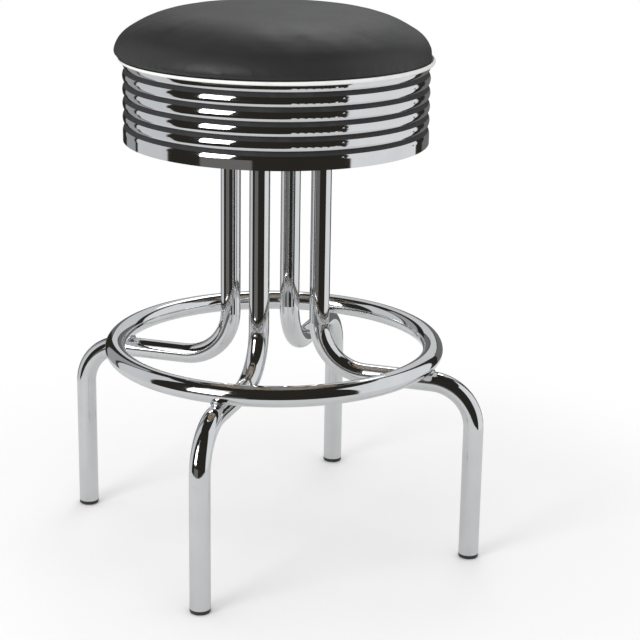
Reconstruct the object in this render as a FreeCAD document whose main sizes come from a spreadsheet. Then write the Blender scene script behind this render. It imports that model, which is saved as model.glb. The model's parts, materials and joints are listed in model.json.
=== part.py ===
import FreeCAD, Part
import math
import os
import re

import Sketcher

# Diner counter stool, in millimetres, +Z up, its origin on the floor in the middle of its feet.
# Four tubes stand close together under the seat, bend outward, run level below the foot ring
# and bend down into the legs. The padded seat turns on a ball swivel inside its ribbed band.

SIZES = [
    ("tube_od", 25.4, "Outer diameter of the legs and of the foot ring, a 1 inch tube"),
    ("tube_wall", 1.5, "Wall of the tube"),
    ("column_reach", 59.7, "From the middle to the axis of each tube under the seat"),
    ("leg_reach", 264, "From the middle to the axis of each vertical leg"),
    ("upper_bend", 62, "Bend radius from the column to the level run"),
    ("lower_bend", 55, "Bend radius from the level run to the leg"),
    ("ring_reach", 202.5, "Radius of the foot ring, to the middle of its tube"),
    ("ring_height", 254, "Height of the middle of the foot ring's tube"),
    ("ring_bead", 2.4, "Radius of the weld bead between ring and run"),
    ("ring_bead_reach", 7.4, "Radius of the loop that this bead makes round the touching point"),
    ("cap_height", 5, "Height of the foot cap below the tube"),
    ("cap_round", 2, "Radius of the foot cap's lower edge"),
    ("cap_stem", 20, "Length of the cap's stem inside the tube"),
    ("cap_core", 8, "Radius of the hollow in the cap's stem"),
    ("stem_gap", 0.1, "Room round the cap's stem in the tube"),
    ("plate_side", 154, "Side of the square plate on top of the columns"),
    ("plate_thick", 4, "Thickness of that plate"),
    ("plate_corner", 10, "Corner radius of the square plates"),
    ("column_bead", 3, "Leg of the weld fillet round each column's top"),
    ("bead_lip", 0.2, "Thickness of that fillet's lower edge"),
    ("swivel_side", 150, "Side of the swivel's plates"),
    ("swivel_sheet", 2.5, "Thickness of the swivel's plates"),
    ("swivel_height", 20, "Height of the swivel, outer face to outer face"),
    ("dish_reach", 58, "Radius of the flat of the raised dish in each swivel plate"),
    ("dish_gap", 4, "Gap between the two dishes"),
    ("flange_lap", 2, "Flat rim outside the dish wall"),
    ("race_reach", 50, "Radius of the circle of balls"),
    ("ball_size", 6.35, "Diameter of a bearing ball, a quarter inch"),
    ("ball_play", 0.1, "Room between a ball and its race or pocket"),
    ("cage_thick", 1, "Thickness of the ball cage"),
    ("cage_width", 12, "Width of the ball cage, across its ring"),
    ("rivet_od", 12, "Outer diameter of the hollow rivet in the swivel's middle"),
    ("rivet_bore", 8, "Bore of that rivet"),
    ("rivet_head", 20, "Diameter of the rivet's heads"),
    ("rivet_flange", 2, "Thickness of the rivet's heads"),
    ("turning_gap", 0.1, "Room between the rivet and the plate that turns on it"),
    ("hole_reach", 62, "From the middle lines to the holes in the plates' corners"),
    ("bolt_size", 6, "Diameter of the swivel's bolts"),
    ("bolt_length", 14, "Length of those bolts under the head"),
    ("bolt_flats", 10, "Width across the flats of bolt heads and nuts"),
    ("bolt_head", 4, "Height of the bolt heads"),
    ("nut_height", 5, "Height of the nuts"),
    ("screw_size", 4, "Diameter of the wood screws"),
    ("screw_length", 12, "Length of the wood screws under the head"),
    ("screw_head", 8, "Diameter of the wood screws' heads"),
    ("screw_rise", 2.4, "Height of the wood screws' heads"),
    ("cross_length", 4.6, "Length of the cross recess in a screw head"),
    ("cross_width", 1, "Width of the cross recess"),
    ("cross_depth", 1.2, "Depth of the cross recess"),
    ("hole_gap", 0.25, "Room round a fastener in a plain hole"),
    ("pilot_gap", 0.05, "Room round a screw in the board"),
    ("band_foot", 521, "Height of the band's lower edge"),
    ("band_height", 98, "Height of the band"),
    ("band_reach", 188.6, "Outer radius of the band"),
    ("band_wall", 5.6, "Depth of the band's section, from a rib's crest to the band's inside"),
    ("band_sheet", 1.4, "Thickness of the metal behind a rib"),
    ("groove_pitch", 17, "From one groove of the band to the next"),
    ("groove_drop", 9.4, "From the band's top edge to the bottom of its first groove"),
    ("groove_depth", 3.6, "Depth of a groove's upper edge below the crest of a rib"),
    ("groove_lip", 1.1, "Depth of a groove's lower edge below the crest of a rib"),
    ("rib_round", 10.7, "Radius of a rib's section"),
    ("inlay_thick", 0.8, "Thickness of the black strip in a groove"),
    ("inlay_gap", 0.05, "Room round the strip in its groove"),
    ("seam_width", 0.4, "Gap of the butt seam at the back of the band"),
    ("splice_width", 30, "Width of the strip behind the seam"),
    ("splice_height", 64, "Height of that strip"),
    ("splice_foot", 8, "From the band's lower edge to that strip"),
    ("clip_thick", 1.5, "Thickness of the splice and of the brackets"),
    ("clip_gap", 0.05, "Room between these and the band's inner wall"),
    ("bracket_width", 20, "Width of a bracket"),
    ("bracket_drop", 36, "Height of a bracket's upright leg"),
    ("bracket_reach", 24, "Length of a bracket's level leg"),
    ("bracket_hole", 14, "From the band to the hole in a bracket"),
    ("board_drop", 3, "From the band's top edge down to the top of the board"),
    ("board_thick", 15, "Thickness of the plywood board"),
    ("board_gap", 0.1, "Room between the board's edge and the cover"),
    ("soft_gap", 0.3, "Room between the soft pieces and their neighbours"),
    ("cover_thick", 1.2, "Thickness of the vinyl"),
    ("flap_width", 25, "How far the cover turns in below the board"),
    ("cushion_lap", 7.3, "How far the cushion stands out past the band"),
    ("tuck_round", 4, "Radius of the cushion where it turns in over the welt"),
    ("side_round", 36, "Radius of the cushion's side"),
    ("shoulder_round", 154, "Radius of the cushion's shoulder"),
    ("side_slope", 80, "Slope in degrees where the side meets the tuck"),
    ("shoulder_slope", 33.2, "Slope in degrees where the shoulder meets the side"),
    ("crown_slope", 3.4, "Slope in degrees where the crown meets the shoulder"),
    ("welt_size", 6, "Diameter of the welt"),
    ("welt_lap", 2.2, "From the band's outer edge out to the middle of the welt's cord"),
    ("welt_tail", 1.2, "Thickness of the welt's sewn edge"),
    ("staple_wire", 0.6, "Thickness of a staple"),
    ("staple_width", 10, "Width of a staple"),
    ("staple_leg", 8, "Length of a staple's legs"),
    ("staple_inset", 6, "From the cover's inner edge to the staples"),
]

LEG_ANGLES = {"right": 0, "back": 90, "left": 180, "front": 270}
BALL_COUNT = 24
STAPLE_COUNT = 24
GROOVE_COUNT = 5
UP = FreeCAD.Vector(0, 0, 1)
LEFT_TURN = 1
RIGHT_TURN = -1

# Heights and radii that several pieces share, worked out from the sizes above.
RUN_HEIGHT = "(ring_height - tube_od)"
BAND_TOP = "(band_foot + band_height)"
BOARD_TOP = f"({BAND_TOP} - board_drop)"
BOARD_FOOT = f"({BOARD_TOP} - board_thick)"
SWIVEL_FOOT = f"({BOARD_FOOT} - swivel_height)"
SWIVEL_MIDDLE = f"({BOARD_FOOT} - swivel_height / 2)"
COLUMN_TOP = f"({SWIVEL_FOOT} - plate_thick)"
BAND_BORE = "(band_reach - band_wall)"
THROAT = f"({BAND_BORE} - soft_gap)"
BOARD_REACH = f"({THROAT} - cover_thick - board_gap)"
FLAP_FOOT = f"({BOARD_FOOT} - cover_thick)"
FLAP_REACH = f"({THROAT} - flap_width)"
CLIP_REACH = f"({BAND_BORE} - clip_gap)"
CLIP_FACE = f"({CLIP_REACH} - clip_thick)"
BRACKET_HOLE_REACH = f"({CLIP_REACH} - bracket_hole)"
CUSHION_FOOT = f"({BAND_TOP} + welt_size + soft_gap)"
CUSHION_REACH = "(band_reach + cushion_lap)"
WELT_REACH = "(band_reach + welt_lap)"
HOLE_OD = "(screw_size + 2 * hole_gap)"
PILOT_OD = "(screw_size + 2 * pilot_gap)"
BOLT_HOLE_OD = "(bolt_size + 2 * hole_gap)"

# A rib is an arc. Its crest stands so far below its upper edge, and so far above its lower one,
# and the slanted black face fills what is left of the pitch.
RIB_ABOVE = "sqrt(2 * rib_round * groove_lip - groove_lip ^ 2)"
RIB_BELOW = "sqrt(2 * rib_round * groove_depth - groove_depth ^ 2)"
FACE_HEIGHT = f"(groove_pitch - {RIB_ABOVE} - {RIB_BELOW})"

# Where sheet metal turns by 45 degrees, its inner corner lies this share of its thickness back.
MITRE = "tan(22.5)"
DIAGONALS = [(x, y) for x in (1, -1) for y in (1, -1)]
CORNERS = [(f"{x} * hole_reach", f"{y} * hole_reach") for x, y in DIAGONALS]
BRACKET_HOLES = [
    (f"{x} * {BRACKET_HOLE_REACH} * sqrt(0.5)", f"{y} * {BRACKET_HOLE_REACH} * sqrt(0.5)")
    for x, y in DIAGONALS
]

doc = FreeCAD.newDocument("counter_stool")
sheet = doc.addObject("Spreadsheet::Sheet", "Sizes")
for row, (name, number, words) in enumerate(SIZES, start=1):
    sheet.set(f"A{row}", words)
    sheet.set(f"B{row}", str(number))
    sheet.setAlias(f"B{row}", name)
doc.recompute()

parts = []


def on_sheet(expression):
    """The expression, with the name of each size pointing at its cell."""
    return re.sub(r"[a-z]+(?:_[a-z]+)+", r"Sizes.\g<0>", expression)


def value(expression):
    """The number that an expression gives at the present sizes."""
    return float(sheet.evalExpression(on_sheet(expression)))


def bind(item, path, expression):
    item.setExpression(path, on_sheet(expression))


def new_body(label, turn=0):
    """A body of the stool, turned about the stool's axis by so many degrees."""
    body = doc.addObject("PartDesign::Body", label)
    body.Label = label
    body.AllowCompound = True
    body.Placement = FreeCAD.Placement(FreeCAD.Vector(), FreeCAD.Rotation(UP, turn))
    parts.append(body)
    return body


def origin_of(body, role):
    """One of the body's own origin planes or axes."""
    return next(feature for feature in body.Origin.OriginFeatures if feature.Role == role)


def new_sketch(body, name, plane="XZ_Plane", lift=None):
    """A sketch on one of the body's planes, lifted along that plane's normal."""
    sketch = body.newObject("Sketcher::SketchObject", name)
    sketch.AttachmentSupport = [(origin_of(body, plane), "")]
    sketch.MapMode = "FlatFace"
    if lift is not None:
        bind(sketch, "AttachmentOffset.Base.z", lift)
    return sketch


def pin_point(sketch, edge, point, across, along):
    """Ties a point to its two distances from the sketch's origin."""
    for kind, axis, expression in (("DistanceX", -2, across), ("DistanceY", -1, along)):
        if expression == "0":
            sketch.addConstraint(Sketcher.Constraint("PointOnObject", edge, point, axis))
            continue
        size = Sketcher.Constraint(kind, -1, 1, edge, point, value(expression))
        number = sketch.addConstraint(size)
        bind(sketch, f"Constraints[{number}]", expression)


def arc_between(start, end, radius, turn):
    """The shorter arc from start to end, which turns left or right on its way."""
    chord = end - start
    left = FreeCAD.Vector(-chord.y, chord.x, 0).normalize()
    rise = math.sqrt(max(radius ** 2 - (chord.Length / 2) ** 2, 0))
    centre = (start + end) * 0.5 + left * (turn * rise)
    first, last = (start, end) if turn == LEFT_TURN else (end, start)
    begin = math.atan2(first.y - centre.y, first.x - centre.x)
    finish = math.atan2(last.y - centre.y, last.x - centre.x)
    if finish < begin:
        finish += 2 * math.pi
    return Part.ArcOfCircle(Part.Circle(centre, UP, radius), begin, finish)


def lay_edges(sketch, corners, closed=True):
    """Edges from corner to corner. A corner is its two distances and, where an arc follows it,
    the arc's radius and the side that it turns to."""
    places = [FreeCAD.Vector(value(corner[0]), value(corner[1]), 0) for corner in corners]
    count = len(corners) if closed else len(corners) - 1
    ends = []
    for number in range(count):
        start = places[number]
        end = places[(number + 1) % len(places)]
        if len(corners[number]) == 2:
            edge = sketch.addGeometry(Part.LineSegment(start, end), False)
            ends.append((edge, 1, 2))
            continue
        radius, turn = corners[number][2:]
        edge = sketch.addGeometry(arc_between(start, end, value(radius), turn), False)
        size = sketch.addConstraint(Sketcher.Constraint("Radius", edge, value(radius)))
        bind(sketch, f"Constraints[{size}]", radius)
        ends.append((edge, 1, 2) if turn == LEFT_TURN else (edge, 2, 1))
    for number in range(count if closed else count - 1):
        edge, last = ends[number][0], ends[number][2]
        following, first = ends[(number + 1) % count][:2]
        sketch.addConstraint(Sketcher.Constraint("Coincident", edge, last, following, first))
    for number, corner in enumerate(corners):
        edge, point = ends[number][:2] if number < count else (ends[-1][0], ends[-1][2])
        pin_point(sketch, edge, point, corner[0], corner[1])


def lay_circle(sketch, across, along, diameter):
    """A circle of that diameter about a point of the sketch."""
    middle = FreeCAD.Vector(value(across), value(along), 0)
    circle = sketch.addGeometry(Part.Circle(middle, UP, value(diameter) / 2), False)
    size = sketch.addConstraint(Sketcher.Constraint("Diameter", circle, value(diameter)))
    bind(sketch, f"Constraints[{size}]", diameter)
    pin_point(sketch, circle, 3, across, along)


def add_feature(body, kind, name, sketch):
    feature = body.newObject(f"PartDesign::{kind}", name)
    feature.Profile = sketch
    return feature


def turn_about_axis(body, name, sketch, kind="Revolution", angle=None):
    """A profile turned about the body's vertical axis, all round or by an angle each side alike."""
    feature = add_feature(body, kind, name, sketch)
    feature.ReferenceAxis = (origin_of(body, "Z_Axis"), [""])
    if angle is None:
        feature.Angle = 360
    else:
        feature.Midplane = True
        bind(feature, "Angle", angle)
    return feature


def pad_up(body, name, sketch, height):
    feature = add_feature(body, "Pad", name, sketch)
    bind(feature, "Length", height)
    return feature


def cut_up(body, name, sketch, height):
    """Cuts from the sketch upward, by that height."""
    feature = add_feature(body, "Pocket", name, sketch)
    feature.Reversed = True
    bind(feature, "Length", height)
    return feature


def cut_both_ways(body, name, sketch, length):
    """Cuts by that length, half of it on each side of the sketch."""
    feature = add_feature(body, "Pocket", name, sketch)
    feature.Midplane = True
    bind(feature, "Length", length)
    return feature


def repeat_round(body, name, features, count):
    """Repeats features about the body's vertical axis."""
    pattern = body.newObject("PartDesign::PolarPattern", name)
    pattern.Originals = features
    pattern.Axis = (origin_of(body, "Z_Axis"), [""])
    pattern.Angle = 360
    pattern.Occurrences = count
    body.Tip = pattern
    return pattern


def add_primitive(body, kind, name, lift, across=None, **sizes):
    """A primitive of the body, with its sizes, at a height and a distance from the axis."""
    feature = body.newObject(f"PartDesign::{kind}", name)
    feature.AttachmentSupport = [(origin_of(body, "XY_Plane"), "")]
    feature.MapMode = "FlatFace"
    bind(feature, "AttachmentOffset.Base.z", lift)
    if across is not None:
        bind(feature, "AttachmentOffset.Base.x", across)
    for size, expression in sizes.items():
        bind(feature, size, expression)
    return feature


def lay_rounded_square(sketch, side, radius):
    """A square about the origin, with round corners."""
    edge = f"({side} / 2)"
    inner = f"({side} / 2 - {radius})"
    lay_edges(sketch, [
        (edge, f"-{inner}"), (edge, inner, radius, LEFT_TURN),
        (inner, edge), (f"-{inner}", edge, radius, LEFT_TURN),
        (f"-{edge}", inner), (f"-{edge}", f"-{inner}", radius, LEFT_TURN),
        (f"-{inner}", f"-{edge}"), (inner, f"-{edge}", radius, LEFT_TURN),
    ])


def lay_hexagon(sketch, across, along, flats):
    """A hexagon about a point, with that width across its flats."""
    spoke = f"{flats} / sqrt(3)"
    lay_edges(sketch, [
        (f"{across} + {spoke} * cos({60 * corner})", f"{along} + {spoke} * sin({60 * corner})")
        for corner in range(6)
    ])


def make_leg(side):
    """One bent tube, from the plate under the seat to its foot cap."""
    body = new_body(f"leg_{side}", LEG_ANGLES[side])
    route = new_sketch(body, f"leg_{side}_route")
    lay_edges(route, [
        ("column_reach", COLUMN_TOP),
        ("column_reach", f"{RUN_HEIGHT} + upper_bend", "upper_bend", LEFT_TURN),
        ("column_reach + upper_bend", RUN_HEIGHT),
        ("leg_reach - lower_bend", RUN_HEIGHT, "lower_bend", RIGHT_TURN),
        ("leg_reach", f"{RUN_HEIGHT} - lower_bend"),
        ("leg_reach", "cap_height"),
    ], closed=False)
    section = new_sketch(body, f"leg_{side}_section", "XY_Plane", COLUMN_TOP)
    lay_circle(section, "column_reach", "0", "tube_od")
    lay_circle(section, "column_reach", "0", "tube_od - 2 * tube_wall")
    doc.recompute()
    tube = add_feature(body, "AdditivePipe", f"leg_{side}_tube", section)
    tube.Spine = (route, [f"Edge{number}" for number in range(1, 6)])


def make_foot_cap(side):
    """A plastic cap under a leg: a disc with a rounded lower edge, and a hollow stem."""
    body = new_body(f"foot_cap_{side}")
    angle = LEG_ANGLES[side]
    bind(body, "Placement.Base.x", f"leg_reach * cos({angle})")
    bind(body, "Placement.Base.y", f"leg_reach * sin({angle})")
    stem = "(tube_od / 2 - tube_wall - stem_gap)"
    profile = new_sketch(body, f"foot_cap_{side}_profile")
    lay_edges(profile, [
        ("0", "0"),
        ("tube_od / 2 - cap_round", "0", "cap_round", LEFT_TURN),
        ("tube_od / 2", "cap_round"),
        ("tube_od / 2", "cap_height"),
        (stem, "cap_height"),
        (stem, "cap_height + cap_stem"),
        ("cap_core", "cap_height + cap_stem"),
        ("cap_core", "cap_height"),
        ("0", "cap_height"),
    ])
    turn_about_axis(body, f"foot_cap_{side}_turned", profile)


def make_foot_ring():
    """The hollow ring that lies on the four level runs."""
    body = new_body("foot_ring")
    section = new_sketch(body, "ring_section")
    lay_circle(section, "ring_reach", "ring_height", "tube_od")
    lay_circle(section, "ring_reach", "ring_height", "tube_od - 2 * tube_wall")
    turn_about_axis(body, "ring_tube", section)


def make_ring_welds():
    """A bead round each point where the ring touches a run, shaped by both tubes."""
    body = new_body("ring_welds")
    bead = add_primitive(
        body, "AdditiveTorus", "ring_bead_loop", f"{RUN_HEIGHT} + tube_od / 2", "ring_reach",
        Radius1="ring_bead_reach", Radius2="ring_bead")
    repeat_round(body, "ring_bead_loops", [bead], len(LEG_ANGLES))
    ring = new_sketch(body, "ring_room")
    lay_circle(ring, "ring_reach", "ring_height", "tube_od")
    turn_about_axis(body, "ring_room_cut", ring, "Groove")
    for plane in ("XZ_Plane", "YZ_Plane"):
        run = new_sketch(body, f"run_room_{plane}", plane)
        lay_circle(run, "0", RUN_HEIGHT, "tube_od")
        cut_both_ways(body, f"run_room_cut_{plane}", run, "2 * leg_reach")


def make_column_plate():
    """The square plate that the four columns are welded to."""
    body = new_body("column_plate")
    outline = new_sketch(body, "column_plate_outline", "XY_Plane", COLUMN_TOP)
    lay_rounded_square(outline, "plate_side", "plate_corner")
    for across, along in CORNERS:
        lay_circle(outline, across, along, BOLT_HOLE_OD)
    pad_up(body, "column_plate_pad", outline, "plate_thick")


def make_column_welds():
    """A fillet of weld round the top of each column."""
    body = new_body("column_welds")
    foot = f"{COLUMN_TOP} - column_bead"
    fillet = add_primitive(
        body, "AdditiveCone", "column_fillet", foot, "column_reach",
        Radius1="tube_od / 2 + bead_lip", Radius2="tube_od / 2 + column_bead",
        Height="column_bead")
    room = add_primitive(
        body, "SubtractiveCylinder", "column_room", foot, "column_reach",
        Radius="tube_od / 2", Height="column_bead")
    repeat_round(body, "column_fillets", [fillet, room], len(LEG_ANGLES))


def make_swivel_plate(label, lower):
    """A pressed plate with a raised dish, whose race holds the balls and whose rim is flat."""
    body = new_body(label)
    side = "1" if lower else "-1"
    base = SWIVEL_FOOT if lower else BOARD_FOOT
    rise = "(swivel_height / 2 - dish_gap / 2 - swivel_sheet)"
    slant = f"swivel_sheet * {MITRE}"
    bore = "rivet_od / 2 + pilot_gap" if lower else "rivet_od / 2 + turning_gap"
    rim = f"dish_reach + {rise} + flange_lap"

    def height(distance):
        return f"{base} + {side} * ({distance})"

    flange = new_sketch(body, f"{label}_flange", "XY_Plane", base if lower else f"{base} - swivel_sheet")
    lay_rounded_square(flange, "swivel_side", "plate_corner")
    lay_circle(flange, "0", "0", f"2 * (dish_reach + {rise})")
    for across, along in CORNERS:
        lay_circle(flange, across, along, BOLT_HOLE_OD if lower else HOLE_OD)
    pad_up(body, f"{label}_pad", flange, "swivel_sheet")
    dish = new_sketch(body, f"{label}_dish")
    lay_edges(dish, [
        (bore, height(rise)),
        (f"dish_reach - {slant}", height(rise)),
        (f"dish_reach + {rise} - {slant}", height("0")),
        (rim, height("0")),
        (rim, height("swivel_sheet")),
        (f"dish_reach + {rise}", height("swivel_sheet")),
        ("dish_reach", height(f"{rise} + swivel_sheet")),
        (bore, height(f"{rise} + swivel_sheet")),
    ])
    turn_about_axis(body, f"{label}_dish_turned", dish)
    race = new_sketch(body, f"{label}_race")
    lay_circle(race, "race_reach", SWIVEL_MIDDLE, "ball_size + 2 * ball_play")
    turn_about_axis(body, f"{label}_race_cut", race, "Groove")


def make_rivet():
    """The hollow rivet through both dishes, tight in the lower one and free in the upper one."""
    body = new_body("swivel_rivet")
    low = f"{SWIVEL_MIDDLE} - dish_gap / 2 - swivel_sheet"
    high = f"{SWIVEL_MIDDLE} + dish_gap / 2 + swivel_sheet + turning_gap"
    profile = new_sketch(body, "rivet_profile")
    lay_edges(profile, [
        ("rivet_bore / 2", f"{low} - rivet_flange"),
        ("rivet_head / 2", f"{low} - rivet_flange"),
        ("rivet_head / 2", low),
        ("rivet_od / 2", low),
        ("rivet_od / 2", high),
        ("rivet_head / 2", high),
        ("rivet_head / 2", f"{high} + rivet_flange"),
        ("rivet_bore / 2", f"{high} + rivet_flange"),
    ])
    turn_about_axis(body, "rivet_turned", profile)


def make_ball_cage():
    """The flat ring that spaces the balls."""
    body = new_body("ball_cage")
    profile = new_sketch(body, "cage_profile", "XY_Plane", f"{SWIVEL_MIDDLE} - cage_thick / 2")
    lay_circle(profile, "0", "0", "2 * race_reach + cage_width")
    lay_circle(profile, "0", "0", "2 * race_reach - cage_width")
    pad_up(body, "cage_pad", profile, "cage_thick")
    pocket = add_primitive(
        body, "SubtractiveCylinder", "cage_pocket", f"{SWIVEL_MIDDLE} - cage_thick", "race_reach",
        Radius="ball_size / 2 + ball_play", Height="2 * cage_thick")
    repeat_round(body, "cage_pockets", [pocket], BALL_COUNT)


def make_balls():
    body = new_body("bearing_balls")
    ball = add_primitive(
        body, "AdditiveSphere", "bearing_ball", SWIVEL_MIDDLE, "race_reach", Radius="ball_size / 2")
    repeat_round(body, "ball_circle", [ball], BALL_COUNT)


def make_bolts():
    """The swivel's bolts, heads up on the lower plate."""
    body = new_body("swivel_bolts")
    seat = f"({SWIVEL_FOOT} + swivel_sheet)"
    heads = new_sketch(body, "bolt_heads", "XY_Plane", seat)
    for across, along in CORNERS:
        lay_hexagon(heads, across, along, "bolt_flats")
    pad_up(body, "bolt_heads_pad", heads, "bolt_head")
    shanks = new_sketch(body, "bolt_shanks", "XY_Plane", f"{seat} - bolt_length")
    for across, along in CORNERS:
        lay_circle(shanks, across, along, "bolt_size")
    pad_up(body, "bolt_shanks_pad", shanks, "bolt_length")


def make_nuts():
    """The nuts under the column plate."""
    body = new_body("swivel_nuts")
    outline = new_sketch(body, "nut_outline", "XY_Plane", f"{COLUMN_TOP} - nut_height")
    for across, along in CORNERS:
        lay_hexagon(outline, across, along, "bolt_flats")
        lay_circle(outline, across, along, "bolt_size + 2 * pilot_gap")
    pad_up(body, "nut_pad", outline, "nut_height")


def make_screws(label, places, seat, turn=0):
    """Pan-head wood screws pointing up, their heads' flat faces at a height."""
    body = new_body(label, turn)
    heads = new_sketch(body, f"{label}_heads", "XY_Plane", f"{seat} - screw_rise")
    shanks = new_sketch(body, f"{label}_shanks", "XY_Plane", seat)
    crosses = new_sketch(body, f"{label}_crosses", "XY_Plane", f"{seat} - screw_rise")
    arm = "cross_length / 2"
    half = "cross_width / 2"
    turns = [(arm, f"-{half}"), (arm, half), (half, half), (half, arm), (f"-{half}", arm),
             (f"-{half}", half), (f"-{arm}", half), (f"-{arm}", f"-{half}"), (f"-{half}", f"-{half}"),
             (f"-{half}", f"-{arm}"), (half, f"-{arm}"), (half, f"-{half}")]
    for across, along in places:
        lay_circle(heads, across, along, "screw_head")
        lay_circle(shanks, across, along, "screw_size")
        lay_edges(crosses, [(f"{across} + {x}", f"{along} + {y}") for x, y in turns])
    pad_up(body, f"{label}_heads_pad", heads, "screw_rise")
    pad_up(body, f"{label}_shanks_pad", shanks, "screw_length")
    cut_up(body, f"{label}_crosses_cut", crosses, "cross_depth")


def make_board():
    """The plywood disc, with blind holes for the swivel's and the brackets' screws."""
    body = new_body("seat_board")
    outline = new_sketch(body, "board_outline", "XY_Plane", BOARD_FOOT)
    lay_circle(outline, "0", "0", f"2 * {BOARD_REACH}")
    pad_up(body, "board_pad", outline, "board_thick")
    pilots = new_sketch(body, "board_pilots", "XY_Plane", BOARD_FOOT)
    for across, along in CORNERS + BRACKET_HOLES:
        lay_circle(pilots, across, along, PILOT_OD)
    cut_up(body, "board_pilots_cut", pilots, "screw_length")


def cushion_arcs(inset):
    """The cushion's outline from its crown to its foot, moved inward by an inset: four arcs,
    each of which carries on in the direction of the one before."""
    centre = (f"({CUSHION_REACH} - tuck_round)", f"({CUSHION_FOOT} + tuck_round)")
    foot = (centre[0], f"{centre[1]} - (tuck_round - {inset})")
    points = [foot]
    smaller = "tuck_round"
    for radius, slope in (("side_round", "side_slope"), ("shoulder_round", "shoulder_slope")):
        bend = f"({smaller} - {inset})"
        points.append((f"{centre[0]} + {bend} * sin({slope})", f"{centre[1]} + {bend} * cos({slope})",
                       bend, RIGHT_TURN))
        centre = (f"({centre[0]} - ({radius} - {smaller}) * sin({slope}))",
                  f"({centre[1]} - ({radius} - {smaller}) * cos({slope}))")
        smaller = radius
    bend = f"({smaller} - {inset})"
    points.append((f"{centre[0]} + {bend} * sin(crown_slope)", f"{centre[1]} + {bend} * cos(crown_slope)",
                   bend, RIGHT_TURN))
    spread = f"({centre[0]} / sin(crown_slope))"
    crown = f"({smaller} + {spread} - {inset})"
    points.append(("0", f"{centre[1]} - {spread} * cos(crown_slope) + {crown}", crown, RIGHT_TURN))
    return points[::-1]


def make_foam():
    """The foam pad on the board, crowned, with sides that draw in over the welt."""
    body = new_body("seat_foam")
    inset = "(cover_thick + soft_gap)"
    profile = new_sketch(body, "foam_profile")
    outer = f"{THROAT} - {inset}"
    lay_edges(profile, cushion_arcs(inset) + [
        (outer, f"{CUSHION_FOOT} + {inset}"),
        (outer, BOARD_TOP),
        ("0", BOARD_TOP),
    ])
    turn_about_axis(body, "foam_turned", profile)


def make_cover():
    """The vinyl cover: over the foam, in over the welt, down inside the band, under the board."""
    body = new_body("seat_cover")
    profile = new_sketch(body, "cover_profile")
    outside = cushion_arcs("0")
    inside = cushion_arcs("cover_thick")
    back = [inside[-1]]
    for before, after in zip(inside[-2::-1], inside[-1:0:-1]):
        back[-1] = back[-1][:2] + (before[2], LEFT_TURN)
        back.append(before[:2])
    lay_edges(profile, outside + [
        (THROAT, CUSHION_FOOT),
        (THROAT, FLAP_FOOT),
        (FLAP_REACH, FLAP_FOOT),
        (FLAP_REACH, BOARD_FOOT),
        (f"{THROAT} - cover_thick", BOARD_FOOT),
        (f"{THROAT} - cover_thick", f"{CUSHION_FOOT} + cover_thick"),
    ] + back)
    turn_about_axis(body, "cover_turned", profile)
    holes = new_sketch(body, "cover_holes", "XY_Plane", FLAP_FOOT)
    for across, along in BRACKET_HOLES:
        lay_circle(holes, across, along, HOLE_OD)
    cut_up(body, "cover_holes_cut", holes, "cover_thick")


def make_staples():
    """The staples that hold the cover's edge up into the board."""
    body = new_body("cover_staples", 180 / STAPLE_COUNT)
    bridge = new_sketch(body, "staple_outline", "YZ_Plane", f"{FLAP_REACH} + staple_inset")
    outer = "staple_width / 2"
    inner = f"({outer} - staple_wire)"
    foot = f"{FLAP_FOOT} - staple_wire"
    tip = f"{foot} + staple_leg"
    lay_edges(bridge, [
        (f"-{outer}", foot), (outer, foot), (outer, tip), (inner, tip),
        (inner, FLAP_FOOT), (f"-{inner}", FLAP_FOOT), (f"-{inner}", tip), (f"-{outer}", tip),
    ])
    staple = pad_up(body, "staple", bridge, "staple_wire")
    repeat_round(body, "staple_circle", [staple], STAPLE_COUNT)


def make_welt():
    """The piping: a round cord on the band's outer edge, and its sewn edge on the band's top."""
    body = new_body("welt")
    cord = new_sketch(body, "welt_cord")
    lay_circle(cord, WELT_REACH, f"{BAND_TOP} + welt_size / 2", "welt_size")
    turn_about_axis(body, "welt_cord_turned", cord)
    tail = new_sketch(body, "welt_tail_outline")
    lay_edges(tail, [
        (BAND_BORE, BAND_TOP), (WELT_REACH, BAND_TOP),
        (WELT_REACH, f"{BAND_TOP} + welt_tail"), (BAND_BORE, f"{BAND_TOP} + welt_tail"),
    ])
    turn_about_axis(body, "welt_tail_turned", tail)


def cut_seam(body, name):
    """The butt seam at the back of the band."""
    seam = new_sketch(body, name, "XY_Plane", "band_foot")
    half = "seam_width / 2"
    lay_edges(seam, [
        (f"-{half}", f"{BAND_BORE} - band_wall"), (half, f"{BAND_BORE} - band_wall"),
        (half, "band_reach + band_wall"), (f"-{half}", "band_reach + band_wall"),
    ])
    cut_up(body, f"{name}_cut", seam, "band_height")


def repeat_down(body, name, feature, count):
    """Repeats a feature down the band, once for each pitch of the grooves."""
    pattern = body.newObject("PartDesign::LinearPattern", name)
    pattern.Originals = [feature]
    pattern.Direction = (origin_of(body, "Z_Axis"), [""])
    pattern.Reversed = True
    bind(pattern, "Length", f"groove_pitch * {count - 1}")
    pattern.Occurrences = count
    body.Tip = pattern


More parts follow.
